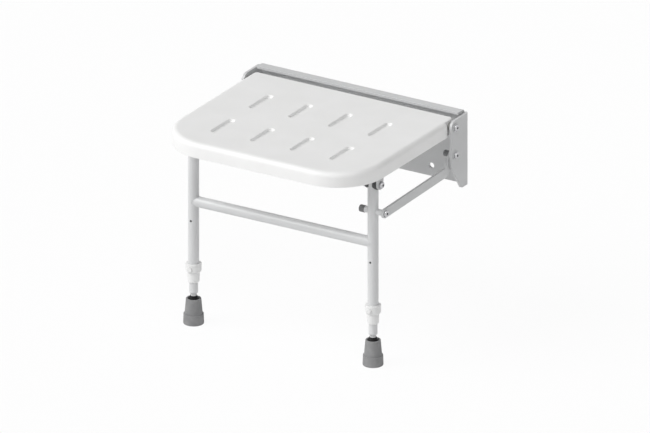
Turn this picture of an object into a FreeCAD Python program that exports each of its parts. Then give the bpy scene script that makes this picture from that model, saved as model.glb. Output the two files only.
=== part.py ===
import FreeCAD, Part
import math
import os
import types

import Sketcher

# Wall-mounted folding shower seat with two legs, in millimetres.
# The origin is the centre of the four wall fixings, on the wall's surface. X runs along the wall,
# +Y into the wall and +Z up. Right is the +X side, as seen by someone who faces the wall.

os.makedirs("parts", exist_ok=True)

sizes = {
    # white seat shell
    "seatWidth": 470.6,
    "seatDepth": 381.7,
    "seatSkirt": 31.4,
    "seatWall": 3.0,
    "seatEdgeRadius": 11.2,
    "seatCornerRadius": 102.0,
    "seatRearCorner": 8.0,
    "seatRearRounding": 1.5,
    "seatNotchGap": 2.7,
    # grip recesses in the seat
    "slotWidth": 15.4,
    "slotLength": 78.0,
    "slotDepth": 5.0,
    "slotDraft": 2.0,
    "slotWall": 2.2,
    "slotPitch": 92.0,
    "slotLip": 2.0,
    "slotFloorRadius": 2.5,
    # folded wall plate with two cheeks and a top lip
    "sheetThickness": 5.0,
    "bendInner": 2.0,
    "plateHeight": 153.0,
    "plateTopRise": 81.5,
    "lipDepth": 25.0,
    "lipEndGap": 10.0,
    "reliefDepth": 3.0,
    "cheekGap": 3.2,
    "cheekMargin": 14.6,
    "cheekFoot": 27.7,
    "cheekElbowRise": 57.5,
    "cheekTopCorner": 15.0,
    "cheekElbowCorner": 10.0,
    "cheekFootCorner": 7.0,
    "fixingSpacingX": 320.0,
    "fixingSpacingZ": 98.0,
    "fixingHole": 12.0,
    # hinge places
    "pivotReach": 52.0,
    "seatPivotDrop": 15.0,
    "seatAbovePivot": 13.6,
    "seatRearOverhang": 15.0,
    "pivotDrop": 59.0,
    "legSetback": 111.5,
    "legPivotDrop": 19.6,
    # bolts, washers and nuts
    "boltDiameter": 8.0,
    "boltHeadDiameter": 14.0,
    "boltHeadHeight": 4.0,
    "boltHeadRounding": 3.4,
    "boltEnd": 2.0,
    "socketAcross": 5.0,
    "socketDepth": 2.6,
    "washerDiameter": 18.0,
    "washerThickness": 2.0,
    "innerWasherDiameter": 16.0,
    "innerWasherThickness": 1.6,
    "nutAcross": 13.0,
    "nutHeight": 6.5,
    "nutCollar": 1.5,
    "nutCollarDiameter": 11.4,
    "capDiameter": 13.0,
    "capLength": 8.0,
    "capEnd": 1.8,
    "capRounding": 1.8,
    # clearances
    "holeGap": 0.2,
    "runGap": 0.08,
    "faceGap": 0.3,
    "fitGap": 0.05,
    "cutOverrun": 5.0,
    # links
    "linkThickness": 5.0,
    "linkWidth": 19.5,
    "linkElbowReach": 24.0,
    "linkElbowDrop": 31.0,
    "linkElbowCorner": 5.0,
    "linkBushDiameter": 11.0,
    "shimThickness": 0.8,
    "shimGap": 0.1,
    "linkSpacerLength": 5.9,
    # seat frame
    "railThickness": 5.0,
    "railHeight": 22.4,
    "railTopGap": 0.6,
    "railRearReach": 12.0,
    "railFrontReach": 30.0,
    "railGap": 0.1,
    "bracketThickness": 5.0,
    "bracketWidth": 20.0,
    "bracketCorner": 3.0,
    "crossRailSize": 18.0,
    "crossRailWall": 1.5,
    "rearRailGap": 25.0,
    "bushDiameter": 15.0,
    "bushNeckDiameter": 11.0,
    "bossDiameter": 12.0,
    "bossHeight": 4.0,
    "screwDiameter": 4.8,
    "screwHeadDiameter": 9.0,
    "screwHeadHeight": 2.6,
    "screwBite": 1.4,
    # leg frame
    "legDiameter": 22.0,
    "legWall": 1.5,
    "legTopRise": 11.5,
    "plugHeadHeight": 2.0,
    "plugStem": 12.0,
    "crossTubeDrop": 67.5,
    "saddleDiameter": 22.4,
    "saddleReach": 12.9,
    "saddleStart": 4.3,
    "sleeveDiameter": 12.4,
    "sleeveLength": 13.0,
    "endSaddleDiameter": 14.0,
    "endSaddleLength": 10.7,
    "frontHole": 4.5,
    "frontHoleRise": 102.2,
    # collar at the lower end of each leg tube
    "collarLength": 41.0,
    "collarRingDiameter": 31.8,
    "collarRingHeight": 15.6,
    "collarRingWall": 1.3,
    "collarShoulder": 4.5,
    "collarTopDiameter": 24.6,
    "collarFootDiameter": 23.2,
    "collarMouthDiameter": 19.2,
    "collarFootChamfer": 2.3,
    "collarRounding": 0.8,
    "collarTubeSeat": 24.0,
    # push button and its latch ring
    "buttonRise": 31.5,
    "buttonDiameter": 10.6,
    "buttonReach": 17.7,
    "buttonRounding": 0.9,
    "buttonTravel": 2.0,
    "latchWall": 0.8,
    "latchHeight": 4.0,
    "latchSideGap": 0.5,
    "latchEndGap": 0.3,
    "toothWidth": 4.0,
    "toothHeight": 2.4,
    # height-adjusting inner legs
    "innerLegDiameter": 18.0,
    "innerLegWall": 1.5,
    "innerLegShown": 21.3,
    "innerLegTopMargin": 42.5,
    "innerFrontHole": 7.0,
    "neckDiameter": 12.2,
    "neckTaper": 4.7,
    "lockPitch": 25.0,
    "glideHead": 3.0,
    "glideStem": 10.0,
    # ferrules that stand on the floor
    "floorDrop": 359.0,
    "ferruleHeight": 53.6,
    "ferruleBaseDiameter": 41.7,
    "ferruleBandDiameter": 40.4,
    "ferruleBandHeight": 21.5,
    "ferruleConeDiameter": 36.2,
    "ferruleTopDiameter": 30.6,
    "ferruleMouthDiameter": 23.2,
    "ferruleFloor": 10.0,
    "ferruleRounding": 1.5,
    "ferruleRim": 0.8,
    "treadWidth": 3.0,
    "treadDepth": 1.5,
    "insertRimDrop": 2.6,
    "insertRise": 5.8,
    "insertCrown": 1.1,
    "neckShown": 2.6,
}
lockHoles = 5

# where the rows of recesses lie, as shares of the seat's depth from its front
slotRowShares = {"front": 0.2827, "rear": 0.6631}

doc = FreeCAD.newDocument("shower_seat")
sheet = doc.addObject("Spreadsheet::Sheet", "Sizes")
for row, (name, number) in enumerate(sizes.items(), 1):
    sheet.set(f"A{row}", name)
    sheet.set(f"B{row}", str(number))
    sheet.setAlias(f"B{row}", name)
places = doc.addObject("App::VarSet", "Places")
doc.recompute()


class Size:
    """A length with its number and the expression that keeps it tied to the sheet."""

    def __init__(self, number, text):
        self.number = number
        self.text = text

    def __add__(self, other):
        return Size(self.number + numberOf(other), f"({self.text} + {textOf(other)})")

    def __sub__(self, other):
        return Size(self.number - numberOf(other), f"({self.text} - {textOf(other)})")

    def __mul__(self, other):
        return Size(self.number * numberOf(other), f"({self.text} * {textOf(other)})")

    def __truediv__(self, other):
        return Size(self.number / numberOf(other), f"({self.text} / {textOf(other)})")

    def __neg__(self):
        return Size(-self.number, f"(-1 * {self.text})")


def numberOf(item):
    return item.number if isinstance(item, Size) else float(item)


def textOf(item):
    return item.text if isinstance(item, Size) else repr(item)


def root(item):
    return Size(math.sqrt(item.number), f"sqrt({item.text})")


def place(name, item):
    """Keeps a worked-out length as a named property, so that later expressions stay short."""
    places.addProperty("App::PropertyFloat", name)
    places.setExpression(name, item.text)
    return Size(item.number, "Places." + name)


s = types.SimpleNamespace(**{name: Size(sheet.get(name), "Sizes." + name) for name in sizes})

# Heights, from the wall plate's top down to the floor.
plateTop = place("plateTop", s.plateTopRise)
plateBottom = place("plateBottom", plateTop - s.plateHeight)
seatPivotZ = place("seatPivotZ", plateTop - s.seatPivotDrop)
linkPivotZ = place("linkPivotZ", seatPivotZ - s.pivotDrop)
seatTop = place("seatTop", seatPivotZ + s.seatAbovePivot)
seatBottom = place("seatBottom", seatTop - s.seatSkirt)
shellUnder = place("shellUnder", seatTop - s.seatWall)
railTop = place("railTop", shellUnder - s.railTopGap)
railBottom = place("railBottom", railTop - s.railHeight)
webBottom = place("webBottom", railBottom - s.bracketThickness)
legPivotZ = place("legPivotZ", webBottom - s.legPivotDrop)
linkEndZ = place("linkEndZ", legPivotZ - s.pivotDrop)
legTop = place("legTop", legPivotZ + s.legTopRise)
crossTubeZ = place("crossTubeZ", linkEndZ - s.crossTubeDrop)
crossRailTop = place("crossRailTop", shellUnder - s.bossHeight)
floorZ = place("floorZ", -s.floorDrop)
ferruleTop = place("ferruleTop", floorZ + s.ferruleHeight)
insertTop = place("insertTop", ferruleTop + s.insertRise)
neckTop = place("neckTop", insertTop + s.neckShown)
taperTop = place("taperTop", neckTop + s.neckTaper)
collarFoot = place("collarFoot", taperTop + s.innerLegShown)
tubeEnd = place("tubeEnd", collarFoot + s.collarTubeSeat)
buttonZ = place("buttonZ", collarFoot + s.buttonRise)
innerLegTop = place("innerLegTop", buttonZ + s.lockPitch * (lockHoles - 1) + s.innerLegTopMargin)

# Distances in front of the wall.
pivotY = place("pivotY", -s.pivotReach)
seatRear = place("seatRear", pivotY + s.seatRearOverhang)
seatFront = place("seatFront", seatRear - s.seatDepth)
legY = place("legY", seatFront + s.legSetback)
cheekFront = place("cheekFront", pivotY - s.cheekMargin)
notchFront = place("notchFront", cheekFront - s.seatNotchGap)
slotFrontRow = place("slotFrontRow", seatFront + s.seatDepth * slotRowShares["front"])
slotRearRow = place("slotRearRow", seatFront + s.seatDepth * slotRowShares["rear"])
frontRailY = place("frontRailY", (slotFrontRow + slotRearRow) / 2)
rearRailY = place("rearRailY", slotRearRow + s.slotLength / 2 + s.rearRailGap)

# Distances from the middle, on the +X side.
seatHalf = place("seatHalf", s.seatWidth / 2)
cheekInner = place("cheekInner", seatHalf + s.cheekGap)
cheekOuter = place("cheekOuter", cheekInner + s.sheetThickness)
bendOuter = place("bendOuter", s.bendInner + s.sheetThickness)
lipHalf = place("lipHalf", cheekOuter - s.lipEndGap)
linkOuter = place("linkOuter", cheekInner - s.shimThickness - s.shimGap * 2)
linkInner = place("linkInner", linkOuter - s.linkThickness)
legRadius = place("legRadius", s.legDiameter / 2)
legInner = place("legInner", legRadius - s.legWall)
legX = place("legX", linkInner - s.faceGap - s.sleeveLength - legRadius)
earGap = place("earGap", s.saddleReach + s.faceGap)
railInner = place("railInner", legX + earGap)
railOuter = place("railOuter", railInner + s.railThickness)
earOuter = place("earOuter", railInner + s.bracketThickness)
rearHalf = place("rearHalf", railOuter + s.railGap + s.seatWall)
boltRadius = place("boltRadius", s.boltDiameter / 2)
holeRadius = place("holeRadius", boltRadius + s.holeGap)
runRadius = place("runRadius", boltRadius + s.runGap)
threadRadius = place("threadRadius", boltRadius + s.fitGap)
innerRadius = place("innerRadius", s.innerLegDiameter / 2)
neckRadius = place("neckRadius", s.neckDiameter / 2)
overrun = s.cutOverrun

nodes = {}


def newBody(name, x=0, y=0, z=0):
    """An empty body whose own origin lies at the given place."""
    body = doc.addObject("PartDesign::Body", name)
    for letter, item in zip("xyz", (x, y, z)):
        if isinstance(item, Size):
            body.setExpression("Placement.Base." + letter, item.text)
    return body


def newSketch(body, plane, offset=None):
    sketch = body.newObject("Sketcher::SketchObject", body.Name + "Sketch")
    support = next(item for item in body.Origin.OriginFeatures if item.Role == plane)
    sketch.AttachmentSupport = [(support, "")]
    sketch.MapMode = "FlatFace"
    if offset is not None:
        sketch.setExpression("AttachmentOffset.Base.z", offset.text)
    return sketch


def hold(sketch, kind, geometry, point, item):
    """Ties one coordinate of a point, or a radius, to its named length."""
    if kind == "Radius":
        index = sketch.addConstraint(Sketcher.Constraint(kind, geometry, numberOf(item)))
    else:
        index = sketch.addConstraint(Sketcher.Constraint(kind, -1, 1, geometry, point, numberOf(item)))
    if isinstance(item, Size):
        sketch.setExpression(f"Constraints[{index}]", item.text)


def holdPoint(sketch, geometry, point, x, y):
    hold(sketch, "DistanceX", geometry, point, x)
    hold(sketch, "DistanceY", geometry, point, y)


def drawOutline(sketch, points):
    """A closed outline. A point may carry a third value, the radius of its rounded corner."""
    corners = [FreeCAD.Vector(numberOf(point[0]), numberOf(point[1]), 0) for point in points]
    count = len(points)
    starts, ends, turns = [], [], []
    for i, point in enumerate(points):
        back = (corners[i - 1] - corners[i]).normalize()
        ahead = (corners[(i + 1) % count] - corners[i]).normalize()
        reach = 0
        if len(point) > 2:
            reach = numberOf(point[2]) / math.tan(back.getAngle(ahead) / 2)
        ends.append(corners[i] + back * reach)
        starts.append(corners[i] + ahead * reach)
        turns.append(back.cross(ahead).z)
    lines = [sketch.addGeometry(Part.LineSegment(starts[i], ends[(i + 1) % count])) for i in range(count)]
    for i, point in enumerate(points):
        before, after = lines[i - 1], lines[i]
        if len(point) == 2:
            sketch.addConstraint(Sketcher.Constraint("Coincident", before, 2, after, 1))
            holdPoint(sketch, after, 1, point[0], point[1])
            continue
        radius = numberOf(point[2])
        inward = (starts[i] + ends[i]) / 2 - corners[i]
        half = (starts[i] - ends[i]).Length / 2
        depth = math.sqrt(radius**2 - half**2)
        centre = corners[i] + inward * ((inward.Length + depth) / inward.Length)
        middle = centre + (corners[i] - centre).normalize() * radius
        arc = sketch.addGeometry(Part.Arc(ends[i], middle, starts[i]))
        first, last = (1, 2) if turns[i] < 0 else (2, 1)
        sketch.addConstraint(Sketcher.Constraint("Tangent", before, 2, arc, first))
        sketch.addConstraint(Sketcher.Constraint("Tangent", arc, last, after, 1))
        hold(sketch, "Radius", arc, 0, point[2])
        corner = sketch.addGeometry(Part.Point(corners[i]), True)
        sketch.addConstraint(Sketcher.Constraint("PointOnObject", corner, 1, before))
        sketch.addConstraint(Sketcher.Constraint("PointOnObject", corner, 1, after))
        holdPoint(sketch, corner, 1, point[0], point[1])


def drawCircle(sketch, x, y, radius):
    centre = FreeCAD.Vector(numberOf(x), numberOf(y), 0)
    circle = sketch.addGeometry(Part.Circle(centre, FreeCAD.Vector(0, 0, 1), numberOf(radius)))
    hold(sketch, "Radius", circle, 0, radius)
    holdPoint(sketch, circle, 3, x, y)


def drawBox(sketch, x0, y0, x1, y1):
    drawOutline(sketch, [(x0, y0), (x1, y0), (x1, y1), (x0, y1)])


def drawHexagon(sketch, across):
    corner = across / math.sqrt(3)
    turns = [math.radians(60 * step) for step in range(6)]
    drawOutline(sketch, [(corner * math.cos(turn), corner * math.sin(turn)) for turn in turns])


def drawStadium(sketch, x, low, high, radius):
    """A long hole along the sketch's second axis, with full-round ends."""
    bottom = FreeCAD.Vector(numberOf(x), numberOf(low + radius), 0)
    top = FreeCAD.Vector(numberOf(x), numberOf(high - radius), 0)
    side = FreeCAD.Vector(numberOf(radius), 0, 0)
    rise = FreeCAD.Vector(0, numberOf(radius), 0)
    right = sketch.addGeometry(Part.LineSegment(bottom + side, top + side))
    upper = sketch.addGeometry(Part.Arc(top + side, top + rise, top - side))
    left = sketch.addGeometry(Part.LineSegment(top - side, bottom - side))
    lower = sketch.addGeometry(Part.Arc(bottom - side, bottom - rise, bottom + side))
    ring = [right, upper, left, lower]
    for i, item in enumerate(ring):
        sketch.addConstraint(Sketcher.Constraint("Tangent", item, 2, ring[(i + 1) % 4], 1))
    hold(sketch, "Radius", upper, 0, radius)
    holdPoint(sketch, upper, 3, x, high - radius)
    holdPoint(sketch, lower, 3, x, low + radius)


def pad(body, sketch, length, side="Symmetric", backward=False):
    feature = body.newObject("PartDesign::Pad", body.Name + "Pad")
    feature.Profile = sketch
    feature.SideType = side
    feature.Reversed = backward
    feature.setExpression("Length", length.text)
    sketch.Visibility = False
    return feature


def pocket(body, sketch, depth=None, side="Symmetric", backward=False):
    """Cuts the outline through everything, or to a depth. It stops if the cut takes nothing away."""
    doc.recompute()
    before = body.Shape.Volume
    feature = body.newObject("PartDesign::Pocket", body.Name + "Pocket")
    feature.Profile = sketch
    feature.SideType = side
    feature.Reversed = backward
    if depth is None:
        feature.Type = "ThroughAll"
    else:
        feature.setExpression("Length", depth.text)
    doc.recompute()
    if not body.Shape.Volume < before:
        raise RuntimeError(body.Name + ": a cut took nothing away")
    return feature


def turn(body, plane, axis, points):
    """A full turn of an outline about an axis of its sketch."""
    sketch = newSketch(body, plane)
    drawOutline(sketch, points)
    feature = body.newObject("PartDesign::Revolution", body.Name + "Turn")
    feature.Profile = sketch
    feature.ReferenceAxis = (sketch, [axis])
    feature.Angle = 360
    return feature


def turnAlongX(name, points, x=0, y=0, z=0):
    body = newBody(name, x, y, z)
    turn(body, "XZ_Plane", "H_Axis", points)
    return body


def turnAlongZ(name, points, x=0, y=0, z=0):
    body = newBody(name, x, y, z)
    turn(body, "XZ_Plane", "V_Axis", points)
    return body


def ringAlongX(name, outer, inner, start, end, x=0, y=0, z=0):
    return turnAlongX(name, [(start, inner), (end, inner), (end, outer), (start, outer)], x, y, z)


def roundEdges(body, radius, wanted):
    """Rounds the edges of the body for which wanted(edge) holds."""
    doc.recompute()
    names = [f"Edge{i}" for i, edge in enumerate(body.Shape.Edges, 1) if wanted(edge)]
    if not names:
        raise RuntimeError(body.Name + ": no edges to round")
    base = body.Tip
    feature = body.newObject("PartDesign::Fillet", body.Name + "Round")
    feature.Base = (base, names)
    feature.setExpression("Radius", radius.text)
    doc.recompute()
    if "Invalid" in feature.State:
        raise RuntimeError(f"{feature.Name}: {len(names)} edges did not round")


def near(first, second):
    return abs(numberOf(first) - numberOf(second)) < 1e-3


def level(edge, z):
    """Whether an edge lies flat at one height of its body."""
    box = edge.BoundBox
    return near(box.ZMin, z) and near(box.ZMax, z)


def mirrored(source):
    twin = doc.addObject("Part::Mirroring", source.Name + "Twin")
    twin.Source = source
    twin.Normal = (1, 0, 0)
    return twin


def keep(name, item):
    """Makes an object a sub-part of its own, under its own name."""
    item.Label = name
    nodes[name] = item


def keepSides(name, right):
    """The same piece on both sides, each side a sub-part of its own."""
    keep(name + "_right", right)
    keep(name + "_left", mirrored(right))


def keepGroup(name, items):
    """Like pieces that share one sub-part, as separate solids."""
    group = doc.addObject("Part::Compound", name + "Group")
    group.Links = items
    keep(name, group)


def keepPair(name, right):
    keepGroup(name, [right, mirrored(right)])


# fasteners
def buttonBolt(name, x, y, z, reach):
    """A button-head bolt with a hex socket. Its head's underside is at x, its end reach inwards."""
    head = s.boltHeadDiameter / 2
    body = turnAlongX(name, [
        (-reach, 0), (s.boltHeadHeight, 0), (s.boltHeadHeight, head, s.boltHeadRounding),
        (0, head), (0, boltRadius), (-reach, boltRadius),
    ], x, y, z)
    socket = newSketch(body, "YZ_Plane", s.boltHeadHeight - s.socketDepth)
    drawHexagon(socket, s.socketAcross)
    pocket(body, socket, side="One side", backward=True)
    return body


def lockNut(name, x, y, z):
    """A hex nut with a plastic locking collar. Its bearing face is at x, its collar inwards."""
    body = newBody(name, x, y, z)
    prism = newSketch(body, "YZ_Plane")
    drawHexagon(prism, s.nutAcross)
    drawCircle(prism, 0, 0, threadRadius)
    pad(body, prism, s.nutHeight, "One side", True)
    collar = newSketch(body, "YZ_Plane")
    drawCircle(collar, 0, 0, s.nutCollarDiameter / 2)
    drawCircle(collar, 0, 0, threadRadius)
    pad(body, collar, s.nutHeight + s.nutCollar, "One side", True)
    return body


def capNut(name, x, y, z):
    """A round dark cap nut with a blind thread. Its mouth is at x."""
    cap = s.capDiameter / 2
    return turnAlongX(name, [
        (0, threadRadius), (0, cap), (-s.capLength, cap, s.capRounding), (-s.capLength, 0),
        (s.capEnd - s.capLength, 0), (s.capEnd - s.capLength, threadRadius),
    ], x, y, z)


def washer(name, diameter, thickness, x, y, z):
    """A flat washer whose outer side is at x."""
    return ringAlongX(name, diameter / 2, holeRadius, -thickness, 0, x, y, z)


# wall bracket
def wallPlate():
    body = newBody("wallPlate")
    section = newSketch(body, "XY_Plane", plateBottom)
    drawOutline(section, [
        (-cheekOuter, cheekFront), (-cheekOuter, 0, bendOuter), (cheekOuter, 0, bendOuter),
        (cheekOuter, cheekFront), (cheekInner, cheekFront),
        (cheekInner, -s.sheetThickness, s.bendInner), (-cheekInner, -s.sheetThickness, s.bendInner),
        (-cheekInner, cheekFront),
    ])
    pad(body, section, s.plateHeight, "One side")

    trim = newSketch(body, "YZ_Plane")
    drawOutline(trim, [
        (cheekFront / 2, plateTop), (cheekFront / 2, plateTop + overrun),
        (cheekFront - overrun, plateTop + overrun), (cheekFront - overrun, plateBottom - overrun),
        (-s.cheekFoot / 2, plateBottom - overrun), (-s.cheekFoot / 2, plateBottom),
        (-s.cheekFoot, plateBottom, s.cheekFootCorner),
        (cheekFront, plateBottom + s.cheekElbowRise, s.cheekElbowCorner),
        (cheekFront, plateTop, s.cheekTopCorner),
    ])
    pocket(body, trim)

    relief = newSketch(body, "XZ_Plane")
    bendStart = cheekOuter - bendOuter
    drawBox(relief, -bendStart, plateTop - s.reliefDepth, bendStart, plateTop + overrun)
    pocket(body, relief)

    lip = newSketch(body, "YZ_Plane")
    drawOutline(lip, [
        (0, plateTop - s.reliefDepth), (0, plateTop + s.sheetThickness, bendOuter),
        (-s.lipDepth, plateTop + s.sheetThickness), (-s.lipDepth, plateTop),
        (-s.sheetThickness, plateTop, s.bendInner), (-s.sheetThickness, plateTop - s.reliefDepth),
    ])
    pad(body, lip, lipHalf * 2)

    fixings = newSketch(body, "XZ_Plane")
    for x in (-s.fixingSpacingX / 2, s.fixingSpacingX / 2):
        for z in (-s.fixingSpacingZ / 2, s.fixingSpacingZ / 2):
            drawCircle(fixings, x, z, s.fixingHole / 2)
    pocket(body, fixings)

    seatPivot = newSketch(body, "YZ_Plane")
    drawCircle(seatPivot, pivotY, seatPivotZ, holeRadius)
    pocket(body, seatPivot)
    linkPivot = newSketch(body, "YZ_Plane")
    drawCircle(linkPivot, pivotY, linkPivotZ, holeRadius)
    pocket(body, linkPivot, side="One side", backward=True)
    keep("wall_plate", body)


def seatPivots():
    head = cheekOuter + s.washerThickness
    washerFace = railInner - s.faceGap
    nutFace = washerFace - s.innerWasherThickness
    reach = head - nutFace + s.nutHeight + s.nutCollar + s.boltEnd
    keepPair("seat_pivot_bolts", buttonBolt("seatPivotBolt", head, pivotY, seatPivotZ, reach))
    keepPair("seat_pivot_washers", washer(
        "seatPivotWasher", s.washerDiameter, s.washerThickness, head, pivotY, seatPivotZ))
    keepPair("seat_pivot_inner_washers", washer(
        "seatPivotInnerWasher", s.innerWasherDiameter, s.innerWasherThickness,
        washerFace, pivotY, seatPivotZ))
    keepPair("seat_pivot_nuts", lockNut("seatPivotNut", nutFace, pivotY, seatPivotZ))


def linkPivot():
    head = cheekOuter + s.washerThickness
    spacerFace = linkInner - s.faceGap
    capFace = spacerFace - s.linkSpacerLength
    reach = head - capFace + s.capLength - s.capEnd - s.faceGap
    keep("link_pivot_bolt", buttonBolt("linkPivotBolt", head, pivotY, linkPivotZ, reach))
    keep("link_pivot_washer", washer(
        "linkPivotWasher", s.washerDiameter, s.washerThickness, head, pivotY, linkPivotZ))
    keep("link_shim", washer(
        "linkShim", s.washerDiameter, s.shimThickness, cheekInner - s.shimGap, pivotY, linkPivotZ))
    keep("link_pivot_spacer", washer(
        "linkPivotSpacer", s.capDiameter, s.linkSpacerLength, spacerFace, pivotY, linkPivotZ))
    keep("link_pivot_cap_nut", capNut("linkPivotCapNut", capFace, pivotY, linkPivotZ))


# seat
def slotPlaces():
    """The middle line and the two ends of each grip recess."""
    for row in (slotFrontRow, slotRearRow):
        for step in (-1.5, -0.5, 0.5, 1.5):
            yield s.slotPitch * step, row - s.slotLength / 2, row + s.slotLength / 2


def screwPlaces():
    for y in (frontRailY, rearRailY):
        for step in (-1, 0, 1):
            yield s.slotPitch * step, y


def seatShell():
    body = newBody("seatShell")
    plan = newSketch(body, "XY_Plane", seatBottom)
    drawOutline(plan, [
        (-seatHalf, seatRear), (-seatHalf, seatFront, s.seatCornerRadius),
        (seatHalf, seatFront, s.seatCornerRadius), (seatHalf, seatRear),
    ])
    pad(body, plan, s.seatSkirt, "One side")

    hollow = newSketch(body, "XY_Plane", seatBottom)
    inside = seatHalf - s.seatWall
    rearInside = rearHalf - s.seatWall
    step = notchFront - s.seatWall
    hollowCorner = s.seatCornerRadius - s.seatWall
    drawOutline(hollow, [
        (-rearInside, seatRear - s.seatWall), (-rearInside, step), (-inside, step),
        (-inside, seatFront + s.seatWall, hollowCorner), (inside, seatFront + s.seatWall, hollowCorner),
        (inside, step), (rearInside, step), (rearInside, seatRear - s.seatWall),
    ])
    pocket(body, hollow, s.seatSkirt - s.seatWall, "One side", True)
    roundEdges(body, s.seatEdgeRadius - s.seatWall, lambda edge: level(edge, shellUnder)
               and edge.BoundBox.YMin < numberOf(step) - 1)
    roundEdges(body, s.seatEdgeRadius, lambda edge: level(edge, seatTop)
               and not near(edge.BoundBox.YMin, seatRear))

    notches = newSketch(body, "XY_Plane")
    for side in (-1, 1):
        drawOutline(notches, [
            (rearHalf * side, notchFront), (seatHalf * side + overrun * side, notchFront),
            (seatHalf * side + overrun * side, seatRear + overrun),
            (rearHalf * side - s.seatRearCorner * (2 * side), seatRear + overrun),
            (rearHalf * side - s.seatRearCorner * (2 * side), seatRear),
            (rearHalf * side, seatRear, s.seatRearCorner),
        ])
    pocket(body, notches)
    roundEdges(body, s.seatRearRounding, lambda edge: level(edge, seatTop)
               and edge.BoundBox.YMax > numberOf(notchFront) + 1)

    troughs = newSketch(body, "XY_Plane", seatTop - s.slotDepth - s.slotWall)
    for x, front, back in slotPlaces():
        drawStadium(troughs, x, front - s.seatWall, back + s.seatWall, s.slotWidth / 2 + s.seatWall)
    pad(body, troughs, s.slotDepth + s.slotWall / 2, "One side")
    slots = newSketch(body, "XY_Plane", seatTop)
    for x, front, back in slotPlaces():
        drawStadium(slots, x, front, back, s.slotWidth / 2)
    cut = pocket(body, slots, s.slotDepth, "One side")
    cut.setExpression("TaperAngle", f"-1 * atan({s.slotDraft.text} / {s.slotDepth.text})")
    roundEdges(body, s.slotFloorRadius, lambda edge: level(edge, seatTop - s.slotDepth))
    roundEdges(body, s.slotLip, lambda edge: level(edge, seatTop) and edge.BoundBox.XLength
               < numberOf(s.slotWidth) + 1 and edge.BoundBox.YLength < numberOf(s.slotLength))

    bosses = newSketch(body, "XY_Plane", crossRailTop)
    for x, y in screwPlaces():
        drawCircle(bosses, x, y, s.bossDiameter / 2)
    pad(body, bosses, s.bossHeight + s.seatWall / 2, "One side")
    pilots = newSketch(body, "XY_Plane", crossRailTop)
    for x, y in screwPlaces():
        drawCircle(pilots, x, y, s.screwDiameter / 2 + s.fitGap)
    pocket(body, pilots, s.bossHeight + s.screwBite + s.faceGap, "One side", True)

    bushHoles = newSketch(body, "YZ_Plane")
    drawCircle(bushHoles, pivotY, seatPivotZ, s.bushDiameter / 2 + s.holeGap)
    pocket(body, bushHoles)
    keep("seat_shell", body)


def sideRail():
    body = newBody("sideRail", railInner, 0, 0)
    side = newSketch(body, "YZ_Plane")
    drawBox(side, legY - s.railFrontReach, railBottom, pivotY + s.railRearReach, railTop)
    pad(body, side, s.railThickness, "One side")
    hinge = newSketch(body, "YZ_Plane")
    drawCircle(hinge, pivotY, seatPivotZ, s.bushNeckDiameter / 2 + s.fitGap)
    pocket(body, hinge)
    keepSides("side_rail", body)


def hingeBushes():
    neckEnd = -s.railThickness + s.faceGap
    flange = cheekInner - s.faceGap - railOuter
    body = turnAlongX("seatHingeBush", [
        (neckEnd, runRadius), (flange, runRadius), (flange, s.bushDiameter / 2),
        (0, s.bushDiameter / 2), (0, s.bushNeckDiameter / 2), (neckEnd, s.bushNeckDiameter / 2),
    ], railOuter, pivotY, seatPivotZ)
    keepPair("seat_hinge_bushes", body)


def crossRail(name, y):
    body = newBody(name)
    outside = newSketch(body, "YZ_Plane")
    reach = s.crossRailSize / 2
    drawBox(outside, y - reach, crossRailTop - s.crossRailSize, y + reach, crossRailTop)
    wall = s.crossRailWall
    drawBox(outside, y - reach + wall, crossRailTop - s.crossRailSize + wall,
            y + reach - wall, crossRailTop - wall)
    pad(body, outside, (railInner - s.fitGap) * 2)
    holes = newSketch(body, "XY_Plane")
    for step in (-1, 0, 1):
        drawCircle(holes, s.slotPitch * step, y, s.screwDiameter / 2 + s.holeGap)
    pocket(body, holes)
    return body


def seatScrews():
    head = crossRailTop - s.crossRailSize
    screws = []
    for x, y in screwPlaces():
        screws.append(turnAlongZ("seatScrew", [
            (0, -s.screwHeadHeight), (s.screwHeadDiameter / 2, -s.screwHeadHeight, s.screwHeadHeight / 2),
            (s.screwHeadDiameter / 2, 0), (s.screwDiameter / 2, 0),
            (s.screwDiameter / 2, s.crossRailSize + s.bossHeight + s.screwBite),
            (0, s.crossRailSize + s.bossHeight + s.screwBite),
        ], x, y, head))
    keepGroup("seat_screws", screws)


def legBracket():
    body = newBody("legBracket", legX, legY, legPivotZ)
    half = earGap + s.bracketThickness
    reach = s.bracketWidth / 2
    web = s.legPivotDrop + s.bracketThickness
    front = newSketch(body, "XZ_Plane")
    drawOutline(front, [
        (-half, 0), (-earGap, 0), (-earGap, s.legPivotDrop, s.bracketCorner),
        (earGap, s.legPivotDrop, s.bracketCorner), (earGap, 0), (half, 0),
        (half, web), (-half, web, s.bracketCorner),
    ])
    pad(body, front, s.bracketWidth)
    ends = newSketch(body, "YZ_Plane")
    drawCircle(ends, 0, 0, reach)
    pad(body, ends, half * 2)
    gap = newSketch(body, "XZ_Plane")
    drawBox(gap, -earGap, -reach - overrun, earGap, reach)
    pocket(body, gap)
    hole = newSketch(body, "YZ_Plane")
    drawCircle(hole, 0, 0, holeRadius)
    pocket(body, hole)
    keepSides("leg_bracket", body)


def legPivots():
    head = earOuter + s.innerWasherThickness
    innerEar = legX - earGap - s.bracketThickness
    nutFace = innerEar - s.innerWasherThickness
    reach = head - nutFace + s.nutHeight + s.nutCollar + s.boltEnd
    keepPair("leg_pivot_bolts", buttonBolt("legPivotBolt", head, legY, legPivotZ, reach))
    washers = [
        washer("legPivotWasher", s.innerWasherDiameter, s.innerWasherThickness, x, legY, legPivotZ)
        for x in (head, innerEar)
    ]
    keepGroup("leg_pivot_washers", washers + [mirrored(item) for item in washers])
    keepPair("leg_pivot_nuts", lockNut("legPivotNut", nutFace, legY, legPivotZ))


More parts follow.
